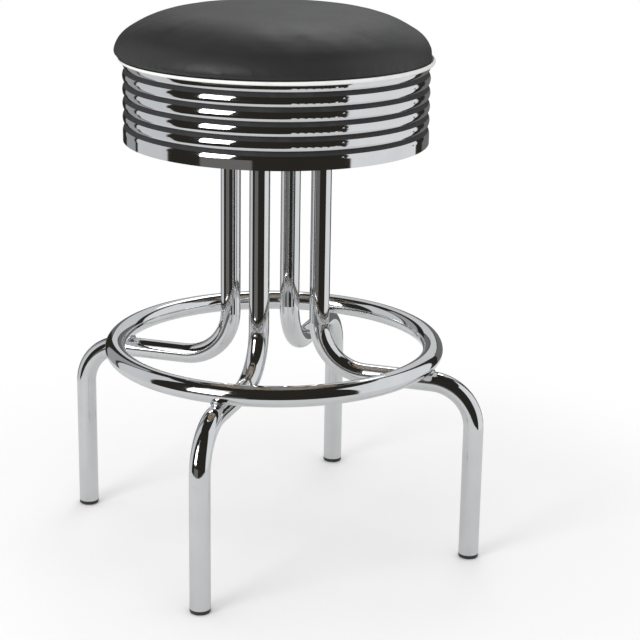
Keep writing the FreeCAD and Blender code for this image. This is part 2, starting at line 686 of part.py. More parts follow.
def make_band():
    """The hoop round the seat. Each outer cut takes out a groove and rounds the ribs beside it,
    and each inner cut hollows a rib from behind."""
    body = new_body("seat_band")
    profile = new_sketch(body, "band_profile")
    lay_edges(profile, [
        (BAND_BORE, "band_foot"), ("band_reach", "band_foot"),
        ("band_reach", BAND_TOP), (BAND_BORE, BAND_TOP),
    ])
    turn_about_axis(body, "band_turned", profile)
    cut_seam(body, "band_seam")
    upper = f"({BAND_TOP} - groove_drop)"
    lower = f"({upper} - {FACE_HEIGHT})"
    groove = new_sketch(body, "groove_profile")
    lay_edges(groove, [
        ("band_reach", f"{upper} + {RIB_BELOW}", "rib_round", RIGHT_TURN),
        ("band_reach - groove_depth", upper),
        ("band_reach - groove_depth - inlay_thick", upper),
        ("band_reach - groove_lip - inlay_thick", lower),
        ("band_reach - groove_lip", lower, "rib_round", RIGHT_TURN),
        ("band_reach", f"{lower} - {RIB_ABOVE}"),
        ("band_reach + inlay_thick", f"{lower} - {RIB_ABOVE}"),
        ("band_reach + inlay_thick", f"{upper} + {RIB_BELOW}"),
    ])
    first = turn_about_axis(body, "groove_cut", groove, "Groove")
    repeat_down(body, "groove_cuts", first, GROOVE_COUNT)
    crest = f"({lower} - {RIB_ABOVE})"
    hollow = "(rib_round - band_sheet)"
    spread = f"sqrt({hollow} ^ 2 - (rib_round - band_wall) ^ 2)"
    inside = new_sketch(body, "rib_hollow_profile")
    lay_edges(inside, [
        (f"{BAND_BORE} - inlay_thick", f"{crest} - {spread}"),
        (BAND_BORE, f"{crest} - {spread}", hollow, LEFT_TURN),
        (BAND_BORE, f"{crest} + {spread}"),
        (f"{BAND_BORE} - inlay_thick", f"{crest} + {spread}"),
    ])
    first = turn_about_axis(body, "rib_hollow_cut", inside, "Groove")
    repeat_down(body, "rib_hollow_cuts", first, GROOVE_COUNT - 1)


def make_inlays():
    """The black strips on the grooves' slanted faces."""
    body = new_body("groove_inlays")
    upper = f"({BAND_TOP} - groove_drop - inlay_gap)"
    lower = f"({BAND_TOP} - groove_drop - {FACE_HEIGHT} + inlay_gap)"
    profile = new_sketch(body, "inlay_profile")
    lay_edges(profile, [
        ("band_reach - groove_depth", upper),
        ("band_reach - groove_depth - inlay_thick + inlay_gap", upper),
        ("band_reach - groove_lip - inlay_thick + inlay_gap", lower),
        ("band_reach - groove_lip", lower),
    ])
    first = turn_about_axis(body, "inlay_turned", profile)
    repeat_down(body, "inlays_turned", first, GROOVE_COUNT)
    cut_seam(body, "inlay_seam")


def make_splice():
    """The strip that backs the seam, at the back of the band."""
    body = new_body("band_splice", LEG_ANGLES["back"])
    profile = new_sketch(body, "splice_profile")
    foot = "(band_foot + splice_foot)"
    lay_edges(profile, [
        (CLIP_FACE, foot), (CLIP_REACH, foot),
        (CLIP_REACH, f"{foot} + splice_height"), (CLIP_FACE, f"{foot} + splice_height"),
    ])
    turn_about_axis(body, "splice_turned", profile, angle=f"2 * asin(splice_width / 2 / {CLIP_REACH})")


def make_brackets():
    """Four angle clips: an upright leg on the band's inner wall, a level one under the board."""
    body = new_body("band_brackets", 45)
    profile = new_sketch(body, "bracket_profile")
    lay_edges(profile, [
        (CLIP_FACE, f"{FLAP_FOOT} - bracket_drop"),
        (CLIP_REACH, f"{FLAP_FOOT} - bracket_drop"),
        (CLIP_REACH, FLAP_FOOT),
        (f"{CLIP_REACH} - bracket_reach", FLAP_FOOT),
        (f"{CLIP_REACH} - bracket_reach", f"{FLAP_FOOT} - clip_thick"),
        (CLIP_FACE, f"{FLAP_FOOT} - clip_thick"),
    ])
    clip = turn_about_axis(
        body, "bracket_turned", profile, angle=f"2 * asin(bracket_width / 2 / {CLIP_REACH})")
    repeat_round(body, "bracket_circle", [clip], len(DIAGONALS))
    holes = new_sketch(body, "bracket_holes", "XY_Plane", f"{FLAP_FOOT} - clip_thick")
    for across, along in ((1, 0), (0, 1), (-1, 0), (0, -1)):
        lay_circle(holes, f"{across} * {BRACKET_HOLE_REACH}", f"{along} * {BRACKET_HOLE_REACH}", HOLE_OD)
    cut_up(body, "bracket_holes_cut", holes, "clip_thick")


def make_frame():
    for side in LEG_ANGLES:
        make_leg(side)
        make_foot_cap(side)
    make_foot_ring()
    make_ring_welds()
    make_column_plate()
    make_column_welds()


def make_swivel():
    make_swivel_plate("swivel_lower_plate", lower=True)
    make_swivel_plate("swivel_upper_plate", lower=False)
    make_rivet()
    make_ball_cage()
    make_balls()
    make_bolts()
    make_nuts()
    make_screws("swivel_screws", CORNERS, f"({BOARD_FOOT} - swivel_sheet)")


def make_seat():
    make_board()
    make_foam()
    make_cover()
    make_staples()
    make_welt()
    make_band()
    make_inlays()
    make_splice()
    make_brackets()
    make_screws("bracket_screws", BRACKET_HOLES, f"({FLAP_FOOT} - clip_thick)")


def check_document():
    """Stops if any object failed to compute, or any part has no valid shape."""
    for item in doc.Objects:
        if "Invalid" in item.State or "Error" in item.State:
            raise RuntimeError(f"{item.Name} failed: {item.State}")
    for part in parts:
        if part.Shape.isNull() or not part.Shape.isValid() or not part.Shape.Solids:
            raise RuntimeError(f"{part.Label} has no valid solid")


def write_parts():
    os.makedirs("parts", exist_ok=True)
    for part in parts:
        shape = part.Shape
        shape.exportStep(f"parts/{part.Label}.step")
        box = shape.BoundBox
        print(f"{part.Label}: {len(shape.Solids)} solids, {shape.Volume / 1000:.2f} cm3, "
              f"z {box.ZMin:.2f} to {box.ZMax:.2f}, width {box.XLength:.1f}")


make_frame()
make_swivel()
make_seat()
doc.recompute()
check_document()
write_parts()
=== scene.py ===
import json
import math

import bpy
from mathutils import Matrix, Vector, noise


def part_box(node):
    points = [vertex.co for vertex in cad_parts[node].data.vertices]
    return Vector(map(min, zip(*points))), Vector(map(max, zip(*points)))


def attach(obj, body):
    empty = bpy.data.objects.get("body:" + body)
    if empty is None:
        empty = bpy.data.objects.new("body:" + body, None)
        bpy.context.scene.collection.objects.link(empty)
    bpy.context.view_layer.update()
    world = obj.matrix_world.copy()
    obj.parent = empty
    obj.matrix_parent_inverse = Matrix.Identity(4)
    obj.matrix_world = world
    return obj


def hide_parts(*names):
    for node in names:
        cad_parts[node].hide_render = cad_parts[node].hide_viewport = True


# Looks of the diner counter stool, in metres, in the frame of its solids: +Z up, the origin on
# the floor in the middle of the feet, the front leg towards -Y.

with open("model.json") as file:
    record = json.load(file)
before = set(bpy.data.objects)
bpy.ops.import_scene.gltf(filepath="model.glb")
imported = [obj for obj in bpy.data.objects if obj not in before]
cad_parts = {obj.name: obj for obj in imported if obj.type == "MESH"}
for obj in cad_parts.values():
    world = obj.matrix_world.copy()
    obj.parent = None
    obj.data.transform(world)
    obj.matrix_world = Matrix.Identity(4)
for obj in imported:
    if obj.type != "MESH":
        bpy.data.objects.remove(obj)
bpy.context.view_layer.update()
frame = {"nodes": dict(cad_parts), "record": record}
scene = bpy.context.scene
scene.view_settings.view_transform = "Standard"
RECORD = frame["record"]
COLORS = {item["slot"]: item["base_color"] for item in RECORD["materials"]}
SLOT_OF = {item["node"]: item["material_slot"] for item in RECORD["subparts"]}

# Camera, as fitted to the legs, the foot ring and the seat of the photograph.
PHOTO_SIDE = 640
FOCAL_PIXELS = 1836.5
SENSOR_WIDTH = 36
CAMERA_PLACE = Vector((0.7242, -2.1188, 0.9688))
CAMERA_TURN = math.radians(17.39)
CAMERA_PITCH = math.radians(16.93)
CAMERA_ROLL = math.radians(0.93)

# Studio. Its directions are azimuths from the side of the camera, positive to the right in the
# photograph, and elevations, both in degrees as seen from the stool. The room is painted
# reflections: a shell that glows dark, with lighter and darker panels, and that only reflections
# show. A panel of the room has its span of azimuths, its span of elevations and its colour. The
# floor fades from its own tone to white between two distances from the stool, and polished metal
# shows a weaker white.
FLOOR_REACH = 0.85
FLOOR_SIDES = 96
FLOOR_DROP = 0.0004
FLOOR_TONE = 0.93
FLOOR_FADE = (0.42, 0.80)
MIRRORED_WHITE = 0.72
ROOM_REACH = 3.4
ROOM_HEIGHT = 0.6
ROOM_STEP = 4
ROOM_SIDES = 48
# Painted reflection: the dark tone that the room's shell glows with, where metal shows the room.
PAINTED_REFLECTION_DARK = (0.026, 0.023, 0.019)
# Painted reflections: the panels that the shell glows with, light and dark, lit by no lamp.
PAINTED_REFLECTION_PANELS = [
    ((54, 126), (-75, 50), (0.82, 0.83, 0.84)),
    ((-123, -84), (-75, 50), (0.66, 0.67, 0.685)),
    ((137, 181), (8, 58), (0.66, 0.67, 0.68)),
    ((-181, -160), (8, 58), (0.66, 0.67, 0.68)),
    ((137, 181), (-75, 8), (0.16, 0.16, 0.16)),
    ((-181, -160), (-75, 8), (0.16, 0.16, 0.16)),
    ((-57, -16), (-24, -9), (0.16, 0.155, 0.15)),
    ((-147, -125), (-75, 40), (0.36, 0.36, 0.37)),
    # Painted highlight: a white panel that fills the band's ribs with light, which no lamp gives.
    ((-57, -33), (-6, 46), (0.96, 0.97, 0.98)),
]
PANEL_EDGE = 2.0
WORLD_LEVEL = 0.92
KEY_DIRECTION = (-44, 12)
KEY_DISTANCE = 2.7
KEY_SIZE = (1.15, 1.6)
KEY_POWER = 28
CROWN_DIRECTION = (168, 46)
CROWN_DISTANCE = 2.6
CROWN_SIZE = (1.0, 0.8)
CROWN_POWER = 6.5

# Cushion. Its outline is four arcs, each of which carries on in the direction of the one before.
# The slopes, in degrees from the level, are those at which one arc hands over to the next. Its
# fuller side stands out to the left of the photograph, from the foot of its tuck upward.
CUSHION_REACH = 0.1953
CUSHION_WAIST = 0.6302
TUCK_ROUND = 0.009
SIDE_ROUND = 0.037
SHOULDER_ROUND = 0.163
SIDE_SLOPE = 77.3
SHOULDER_SLOPE = 31.4
CROWN_SLOPE = 3.9
FULL_SIDE = 0.0045
FULL_SIDE_FOOT = 0.6195
FULL_SIDE_TOP = 0.630
CUSHION_SIDES = 96
ARC_STEP = 3.0
CROWN_STEP = 0.25
SOFT_GAP = 0.0003
COVER_THICK = 0.0012
BOARD_GAP = 0.0001
FLAP_WIDTH = 0.025
PAD_VOXEL = 0.005
SWELL_SHARE = 0.4
SWELL_LIMIT = 0.0008
CLOTH_FRAMES = 20
CLOTH_PRESSURE = 4
CLOTH_QUALITY = 5
CLOTH_MASS = 0.3
CLOTH_STRETCH = 40
CLOTH_BEND = 2

# Cover's edge: the flap under the board and its pleats, with the round where it turns in.
PLEAT_COUNT = 72
PLEAT_DEPTH = 0.0011
FLAP_SIDES = 576
FLAP_BEND = 0.004
FLAP_BEVEL = (0.0002, 0.0008)
FLAP_STEPS = (0.001, 0.006, 0.012, 0.018)
PLEAT_FREE_RISE = 0.001
PLEAT_FREE_RIM = 0.002

# Welt: its cord, the sewn edge that runs inward from it, and its joint at the back.
CORD_RADIUS = 0.003
WELT_SIDES = 360
WELT_TAIL = 0.0056
TAIL_TIP = ((0.0008, 0.0012), (0.0, 0.0006), (0.0004, 0.0))
TAIL_FLAT = 0.003
JOINT_TURN = math.radians(97)
JOINT_DEPTH = 0.0007
JOINT_WIDTH = 0.0016
WOBBLE = 0.00018
WOBBLE_COUNT = 9
WOBBLE_ROW = 3.1


class Shading:
    """The nodes of a material or of the world, with a short call for each kind."""

    def __init__(self, tree):
        self.tree = tree
        tree.nodes.clear()

    def add(self, kind, **settings):
        node = self.tree.nodes.new(f"ShaderNode{kind}")
        for name, setting in settings.items():
            setattr(node, name, setting)
        return node

    def feed(self, socket, source):
        """Sets a socket to a number or colour, or joins it to another node's output."""
        if isinstance(source, bpy.types.NodeSocket):
            self.tree.links.new(source, socket)
        elif isinstance(source, (tuple, list)) and len(source) == 3 and len(socket.default_value) == 4:
            socket.default_value = (*source, 1)
        else:
            socket.default_value = source

    def fill(self, node, **sources):
        for name, source in sources.items():
            self.feed(node.inputs[name.replace("_", " ")], source)
        return node

    def math(self, operation, *sources):
        node = self.add("Math", operation=operation)
        for socket, source in zip(node.inputs, sources):
            self.feed(socket, source)
        return node.outputs[0]

    def place(self, scale=(1, 1, 1)):
        """The point of the surface, in metres in the stool's own frame, stretched by a scale."""
        point = self.add("TexCoord").outputs["Object"]
        mapping = self.fill(self.add("Mapping"), Vector=point, Scale=scale)
        return mapping.outputs["Vector"]

    def noise(self, place, scale, detail=3, roughness=0.5):
        node = self.fill(self.add("TexNoise"), Vector=place, Scale=scale, Detail=detail,
                         Roughness=roughness)
        return node.outputs["Fac"]

    def cells(self, place, scale, feature="F1"):
        node = self.fill(self.add("TexVoronoi", feature=feature), Vector=place, Scale=scale)
        return node.outputs["Distance"]

    def span(self, source, low, high, first=0.0, last=1.0, kind="LINEAR"):
        """The source's range from low to high, spread over first to last."""
        node = self.add("MapRange", interpolation_type=kind)
        for socket, number in zip(node.inputs, (source, low, high, first, last)):
            self.feed(socket, number)
        return node.outputs[0]

    def mix(self, share, first, second):
        node = self.add("Mix", data_type="RGBA")
        self.feed(node.inputs[0], share)
        self.feed(node.inputs[6], first)
        self.feed(node.inputs[7], second)
        return node.outputs[2]

    def bump(self, height, depth, strength=1.0, below=None):
        """A bump of that depth in metres, on top of another one below it."""
        node = self.fill(self.add("Bump"), Height=height, Distance=depth, Strength=strength)
        if below is not None:
            self.feed(node.inputs["Normal"], below)
        return node.outputs["Normal"]


def new_material(name):
    """A material with a principled shader, and its shading."""
    material = bpy.data.materials.new(name)
    material.use_nodes = True
    shading = Shading(material.node_tree)
    shader = shading.add("BsdfPrincipled")
    output = shading.add("OutputMaterial")
    shading.feed(output.inputs["Surface"], shader.outputs["BSDF"])
    return material, shading, shader


def show(material, shading, surface):
    """Makes a surface the one that the material shows."""
    output = next(node for node in material.node_tree.nodes if node.type == "OUTPUT_MATERIAL")
    shading.feed(output.inputs["Surface"], surface)


def toned(color, factor):
    return tuple(min(1.0, channel * factor) for channel in color)


def make_chrome(slot, turned):
    """Polished plating: a faint waviness, polishing lines, smudges and tiny pits. A turned piece
    has its lines round the stool's axis."""
    material, shading, shader = new_material(f"look_{slot}")
    place = shading.place()
    if turned:
        parts = shading.add("SeparateXYZ")
        shading.feed(parts.inputs[0], place)
        radius = shading.math("SQRT", shading.math(
            "ADD", shading.math("MULTIPLY", parts.outputs[0], parts.outputs[0]),
            shading.math("MULTIPLY", parts.outputs[1], parts.outputs[1])))
        joined = shading.add("CombineXYZ")
        shading.feed(joined.inputs[0], radius)
        shading.feed(joined.inputs[1], parts.outputs[2])
        lines = shading.noise(joined.outputs[0], 2600, 2)
    else:
        lines = shading.noise(shading.place((1, 1, 0.03)), 1500, 2)
    smudges = shading.noise(place, 26, 5, 0.6)
    pits = shading.cells(place, 420)
    waves = shading.noise(place, 11, 2)
    shading.feed(shader.inputs["Base Color"], shading.mix(
        shading.span(smudges, 0.35, 0.7), COLORS[slot], toned(COLORS[slot], 0.94)))
    shading.feed(shader.inputs["Roughness"], shading.math(
        "ADD", shading.span(smudges, 0.4, 0.75, 0.045, 0.085), shading.span(lines, 0.4, 0.8, 0, 0.02)))
    normal = shading.bump(waves, 0.00006)
    normal = shading.bump(lines, 0.0000006, below=normal)
    normal = shading.bump(shading.span(pits, 0.0, 0.08), 0.000004, below=normal)
    shading.fill(shader, Metallic=1.0, Normal=normal)
    return material


def make_weld(slot):
    """A plated weld bead: ripples across the bead, spatter and a brownish heat tint."""
    material, shading, shader = new_material(f"look_{slot}")
    place = shading.place()
    ripples = shading.noise(place, 420, 3)
    tint = shading.noise(place, 60, 4)
    shading.feed(shader.inputs["Base Color"], shading.mix(
        shading.span(tint, 0.45, 0.7), COLORS[slot], (0.42, 0.36, 0.28)))
    shading.feed(shader.inputs["Roughness"], shading.span(ripples, 0.3, 0.7, 0.16, 0.34))
    shading.fill(shader, Metallic=1.0, Normal=shading.bump(ripples, 0.0006, 0.8))
    return material


def make_strip(slot):
    """The matte black strips in the band's grooves, with a fine extruded grain."""
    material, shading, shader = new_material(f"look_{slot}")
    place = shading.place()
    dust = shading.noise(place, 45, 5, 0.65)
    grain = shading.noise(shading.place((1, 1, 6)), 900, 2)
    shading.feed(shader.inputs["Base Color"], shading.mix(
        shading.span(dust, 0.45, 0.75), COLORS[slot], toned(COLORS[slot], 1.5)))
    shading.feed(shader.inputs["Roughness"], shading.span(dust, 0.3, 0.7, 0.52, 0.66))
    shading.fill(shader, Normal=shading.bump(grain, 0.00004, 0.6))
    shader.inputs["Specular IOR Level"].default_value = 0.3
    return material


def make_cap(slot):
    """Moulded plastic with a fine spark-eroded grain, scuffed where it stands on the floor."""
    material, shading, shader = new_material(f"look_{slot}")
    place = shading.place()
    height = shading.add("SeparateXYZ")
    shading.feed(height.inputs[0], place)
    scuffs = shading.math("MULTIPLY", shading.noise(place, 160, 5, 0.7),
                          shading.span(height.outputs[2], 0.0, 0.0035, 1.0, 0.15))
    shading.feed(shader.inputs["Base Color"], shading.mix(
        shading.span(scuffs, 0.35, 0.7), COLORS[slot], (0.11, 0.105, 0.10)))
    shading.feed(shader.inputs["Roughness"], shading.span(scuffs, 0.2, 0.7, 0.40, 0.62))
    shading.fill(shader, Normal=shading.bump(shading.noise(place, 1800, 2), 0.00005, 0.7))
    return material


def make_black_vinyl(slot):
    """Upholstery vinyl: a pebble grain with fine creases, and patches that are a little smoother."""
    material, shading, shader = new_material(f"look_{slot}")
    place = shading.place()
    pebbles = shading.cells(place, 720, "SMOOTH_F1")
    creases = shading.cells(place, 330, "DISTANCE_TO_EDGE")
    pores = shading.noise(place, 2400, 3)
    cloud = shading.noise(place, 9, 4)
    shading.feed(shader.inputs["Base Color"], shading.mix(
        shading.span(cloud, 0.3, 0.7), toned(COLORS[slot], 0.9), toned(COLORS[slot], 1.25)))
    shading.feed(shader.inputs["Roughness"], shading.math(
        "ADD", shading.span(cloud, 0.3, 0.7, 0.36, 0.44), shading.span(pebbles, 0.0, 0.6, 0.0, 0.08)))
    normal = shading.bump(shading.span(creases, 0.0, 0.12), 0.00007, 0.5)
    normal = shading.bump(pebbles, 0.00012, 0.5, normal)
    normal = shading.bump(pores, 0.00002, 0.5, normal)
    shading.fill(shader, Normal=normal)
    shader.inputs["Specular IOR Level"].default_value = 0.42
    return material


def make_white_vinyl(slot):
    """The welt's smooth vinyl, with faint stretch marks across the cord and a little soiling."""
    material, shading, shader = new_material(f"look_{slot}")
    place = shading.place()
    soil = shading.noise(place, 55, 5, 0.65)
    marks = shading.noise(place, 300, 3)
    shading.feed(shader.inputs["Base Color"], shading.mix(
        shading.span(soil, 0.5, 0.8), COLORS[slot], toned(COLORS[slot], 0.86)))
    shading.feed(shader.inputs["Roughness"], shading.span(soil, 0.3, 0.7, 0.34, 0.48))
    shading.fill(shader, Normal=shading.bump(marks, 0.00012, 0.5))
    return material


def make_foam_look(slot):
    """Open-cell foam."""
    material, shading, shader = new_material(f"look_{slot}")
    place = shading.place()
    pores = shading.cells(place, 1300)
    shading.feed(shader.inputs["Base Color"], shading.mix(
        shading.span(pores, 0.1, 0.5), COLORS[slot], toned(COLORS[slot], 0.7)))
    shading.fill(shader, Roughness=0.95, Normal=shading.bump(pores, 0.0004, 0.8))
    return material


def make_plywood(slot):
    """Birch plywood: long grain with growth rings on the faces, and plies on the edge."""
    material, shading, shader = new_material(f"look_{slot}")
    fibres = shading.noise(shading.place((9, 240, 60)), 1.0, 4, 0.6)
    rings = shading.noise(shading.place((1.2, 16, 4)), 1.6, 3)
    bands = shading.math("FRACT", shading.math("MULTIPLY", rings, 14))
    plies = shading.add("SeparateXYZ")
    shading.feed(plies.inputs[0], shading.place())
    layer = shading.math("PINGPONG", shading.math("MULTIPLY", plies.outputs[2], 660), 1.0)
    veneer = shading.mix(shading.span(bands, 0.0, 1.0, 0.0, 0.55), COLORS[slot], (0.47, 0.31, 0.17))
    veneer = shading.mix(shading.span(fibres, 0.35, 0.75, 0.0, 0.6), veneer, (0.73, 0.58, 0.40))
    edge = shading.mix(shading.span(layer, 0.45, 0.55), veneer, (0.40, 0.26, 0.15))
    normal = shading.add("NewGeometry").outputs["Normal"]
    upright = shading.add("SeparateXYZ")
    shading.feed(upright.inputs[0], normal)
    side = shading.span(shading.math("ABSOLUTE", upright.outputs[2]), 0.4, 0.6, 1.0, 0.0)
    shading.feed(shader.inputs["Base Color"], shading.mix(side, veneer, edge))
    shading.fill(shader, Roughness=0.72, Normal=shading.bump(fibres, 0.0001, 0.6))
    return material


def make_zinc(slot, spangle, rough, depth):
    """Zinc plating: a faint spangle of warmer and cooler patches, and handling marks."""
    material, shading, shader = new_material(f"look_{slot}")
    place = shading.place()
    patches = shading.cells(place, spangle)
    marks = shading.noise(shading.place((1, 7, 1)), 180, 5, 0.65)
    warm = tuple(channel * tint for channel, tint in zip(COLORS[slot], (1.04, 1.0, 0.88)))
    cool = tuple(channel * tint for channel, tint in zip(COLORS[slot], (0.88, 0.93, 1.0)))
    shading.feed(shader.inputs["Base Color"], shading.mix(shading.span(patches, 0.1, 0.8), warm, cool))
    shading.feed(shader.inputs["Roughness"], shading.span(marks, 0.3, 0.7, rough, rough + 0.14))
    shading.fill(shader, Metallic=1.0, Normal=shading.bump(marks, depth, 0.7))
    return material


LOOKS = {
    "tube_chrome": make_chrome("tube_chrome", turned=False),
    "band_metal": make_chrome("band_metal", turned=True),
    "weld_metal": make_weld("weld_metal"),
    "black_strip": make_strip("black_strip"),
    "cap_plastic": make_cap("cap_plastic"),
    "black_vinyl": make_black_vinyl("black_vinyl"),
    "white_vinyl": make_white_vinyl("white_vinyl"),
    "foam": make_foam_look("foam"),
    "plywood": make_plywood("plywood"),
    "zinc_plate": make_zinc("zinc_plate", 90, 0.28, 0.00003),
    "zinc_fastener": make_zinc("zinc_fastener", 240, 0.24, 0.00002),
    "bearing_steel": make_zinc("bearing_steel", 400, 0.10, 0.000004),
}


def dress_nodes():
    """Gives each solid of the stool the look of its own material slot."""
    for name, node in frame["nodes"].items():
        for place in node.material_slots:
            place.material = LOOKS[SLOT_OF[name]]


def lathe(name, outline, count, closed=False):
    """A mesh turned about the stool's axis. Each point of its outline is a radius and a height,
    and a point on the axis is one vertex."""
    points = []
    rows = []
    for radius, height in outline:
        if radius < 1e-6:
            rows.append([len(points)] * count)
            points.append((0, 0, height))
            continue
        rows.append([len(points) + step for step in range(count)])
        for step in range(count):
            angle = 2 * math.pi * step / count
            points.append((radius * math.cos(angle), radius * math.sin(angle), height))
    faces = []
    pairs = list(zip(rows, rows[1:] + rows[:1])) if closed else list(zip(rows, rows[1:]))
    for upper, lower in pairs:
        for step in range(count):
            after = (step + 1) % count
            corners = [upper[step], lower[step], lower[after], upper[after]]
            faces.append(list(dict.fromkeys(corners)))
    mesh = bpy.data.meshes.new(name)
    mesh.from_pydata(points, [], faces)
    mesh.validate()
    piece = bpy.data.objects.new(name, mesh)
    scene.collection.objects.link(piece)
    return piece


def finish_piece(piece, slot, body, *nodes):
    """Gives a piece its look, its smooth shading, the body it rides on and the solids it shows."""
    piece.data.materials.clear()
    piece.data.materials.append(LOOKS[slot])
    piece.data.polygons.foreach_set("use_smooth", [True] * len(piece.data.polygons))
    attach(piece, body)
    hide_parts(*nodes)


def arc(centre, radius, first, last, step=ARC_STEP):
    """Points of an arc, from one direction in degrees to another, each a radius and a height."""
    count = max(2, round(abs(last - first) / step) + 1)
    turns = [math.radians(first + (last - first) * number / (count - 1)) for number in range(count)]
    return [(centre[0] + radius * math.cos(turn), centre[1] + radius * math.sin(turn))
            for turn in turns]


def cushion_outline():
    """The cushion's outline from the crown to the foot of its tuck."""
    centre = (CUSHION_REACH - TUCK_ROUND, CUSHION_WAIST)
    radius = TUCK_ROUND
    points = arc(centre, radius, 90 - SIDE_SLOPE, -90)[::-1]
    direction = 90 - SIDE_SLOPE
    for bigger, slope in ((SIDE_ROUND, SHOULDER_SLOPE), (SHOULDER_ROUND, CROWN_SLOPE)):
        turn = math.radians(direction)
        centre = (centre[0] - (bigger - radius) * math.cos(turn),
                  centre[1] - (bigger - radius) * math.sin(turn))
        radius = bigger
        points += arc(centre, radius, direction, 90 - slope)[1:]
        direction = 90 - slope
    turn = math.radians(direction)
    crown = radius + centre[0] / math.cos(turn)
    centre = (0.0, centre[1] - (crown - radius) * math.sin(turn))
    points += arc(centre, crown, direction, 90, CROWN_STEP)[1:]
    points[-1] = (0.0, points[-1][1])
    return points[::-1]


def full_side_share(height):
    share = (height - FULL_SIDE_FOOT) / (FULL_SIDE_TOP - FULL_SIDE_FOOT)
    share = max(0.0, min(1.0, share))
    return share * share * (3 - 2 * share)


def full_side_move(height):
    """How far the cushion leans to its fuller side at a height."""
    towards = Vector((-math.cos(CAMERA_TURN), -math.sin(CAMERA_TURN), 0))
    return towards * (FULL_SIDE * full_side_share(height))


def swell(piece):
    """Lets the pad swell under pressure, held at its foot, and keeps a share of how far each
    point then stands out or in against the pad as a whole."""
    foot = CUSHION_WAIST - TUCK_ROUND / 2
    held = piece.vertex_groups.new(name="held")
    held.add([point.index for point in piece.data.vertices if point.co.z < foot], 1, "REPLACE")
    cloth = piece.modifiers.new("swelling", "CLOTH")
    settings = cloth.settings
    settings.quality = CLOTH_QUALITY
    settings.mass = CLOTH_MASS
    settings.tension_stiffness = CLOTH_STRETCH
    settings.compression_stiffness = CLOTH_STRETCH
    settings.bending_stiffness = CLOTH_BEND
    settings.use_pressure = True
    settings.uniform_pressure_force = CLOTH_PRESSURE
    settings.vertex_group_mass = "held"
    settings.effector_weights.gravity = 0
    cloth.collision_settings.use_collision = False
    cloth.point_cache.frame_start = 1
    cloth.point_cache.frame_end = CLOTH_FRAMES
    for number in range(1, CLOTH_FRAMES + 1):
        scene.frame_set(number)
    swollen = piece.evaluated_get(bpy.context.evaluated_depsgraph_get())
    normals = [point.normal.copy() for point in piece.data.vertices]
    starts = [point.co.copy() for point in piece.data.vertices]
    rises = [(shown.co - start).dot(normal)
             for shown, start, normal in zip(swollen.data.vertices, starts, normals)]
    piece.modifiers.remove(cloth)
    free = [rise for rise, start in zip(rises, starts) if start.z > foot]
    middle = sum(free) / len(free)
    for point, rise, start, normal in zip(piece.data.vertices, rises, starts, normals):
        if start.z > foot:
            move = max(-SWELL_LIMIT, min(SWELL_LIMIT, SWELL_SHARE * (rise - middle)))
            point.co = start + normal * move
    scene.frame_set(1)


def keep_modifiers(piece):
    """Turns what the piece's modifiers show into its own mesh."""
    shown = piece.evaluated_get(bpy.context.evaluated_depsgraph_get())
    mesh = bpy.data.meshes.new_from_object(shown)
    piece.modifiers.clear()
    piece.data = mesh


def make_cover_edge():
    """The vinyl inside the band and under the board, gathered in small pleats where it ends."""
    board_low, board_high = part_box("seat_board")
    reach = board_high.x + BOARD_GAP + COVER_THICK
    foot = board_low.z - COVER_THICK
    inner = reach - FLAP_WIDTH
    upper = board_low.z - BOARD_GAP
    bend = board_low.z + FLAP_BEND
    outline = [(reach, board_high.z), (reach, bend), (reach - FLAP_BEVEL[0], foot + FLAP_BEVEL[1])]
    outline += [(reach - across, foot) for across in FLAP_STEPS]
    outline += [(inner, foot), (inner, upper), (reach - COVER_THICK, upper),
                (reach - COVER_THICK, bend), (reach - COVER_THICK, board_high.z)]
    edge = lathe("cover_edge", outline, FLAP_SIDES, closed=True)
    for point in edge.data.vertices:
        radius = math.hypot(point.co.x, point.co.y)
        if point.co.z > board_low.z - PLEAT_FREE_RISE or radius > reach - PLEAT_FREE_RIM:
            continue
        angle = math.atan2(point.co.y, point.co.x)
        share = (reach - radius) / FLAP_WIDTH
        point.co.z -= PLEAT_DEPTH * share * (0.5 + 0.5 * math.cos(PLEAT_COUNT * angle)) ** 3
    return edge


def make_cushion():
    """The padded seat: crowned, drawn in over the welt, and stapled up under the board."""
    board_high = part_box("seat_board")[1]
    board_top = board_high.z + SOFT_GAP
    throat = board_high.x + BOARD_GAP + COVER_THICK
    outline = cushion_outline()
    outline += [(throat, outline[-1][1]), (throat, board_top), (0.0, board_top)]
    cushion = lathe("seat_cushion", outline, CUSHION_SIDES)
    remesh = cushion.modifiers.new("even", "REMESH")
    remesh.mode = "VOXEL"
    remesh.voxel_size = PAD_VOXEL
    keep_modifiers(cushion)
    swell(cushion)
    smooth = cushion.modifiers.new("soften", "SMOOTH")
    smooth.iterations = 6
    finer = cushion.modifiers.new("finer", "SUBSURF")
    finer.levels = 1
    finer.render_levels = 1
    keep_modifiers(cushion)
    for point in cushion.data.vertices:
        point.co += full_side_move(point.co.z)
    finish_piece(cushion, "black_vinyl", "seat", "seat_cover", "seat_foam")
    finish_piece(make_cover_edge(), "black_vinyl", "seat", "seat_cover")


